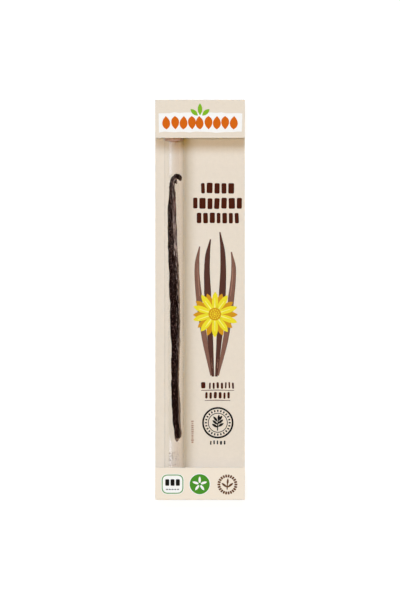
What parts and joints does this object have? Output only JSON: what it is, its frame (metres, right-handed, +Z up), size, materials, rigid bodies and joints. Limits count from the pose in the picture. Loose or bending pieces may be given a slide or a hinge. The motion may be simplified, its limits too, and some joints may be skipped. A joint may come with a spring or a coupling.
{
  "type": "vanilla pod in a stoppered tube on a card pack",
  "caption": "Dried vanilla pod with a hooked stem end inside a stoppered clear glass tube, held between the hollow header and footer of a slim folded card pack.",
  "frame": {"origin": "centre of the flat back of the pack, which lies on the surface, with the shown side up", "axes": "+Y along the pack towards its header and the pod's hooked end, +Z up out of the shown side, +X across the pack away from the tube"},
  "size_m": [0.0494, 0.22, 0.014],
  "materials": {
    "printed_board": "uncoated folding board, cream with a faint paper fibre, printed in flat colours",
    "clear_glass": "clear polished tube glass",
    "stopper": "soft moulded stopper, pinkish tan",
    "pod": "cured vanilla pod: near-black brown, wrinkled lengthwise, oily sheen"
  },
  "bodies": {
    "root": {"carton": "printed_board", "tube": "clear_glass", "stopper": "stopper", "pod": "pod"}
  },
  "joints": []
}
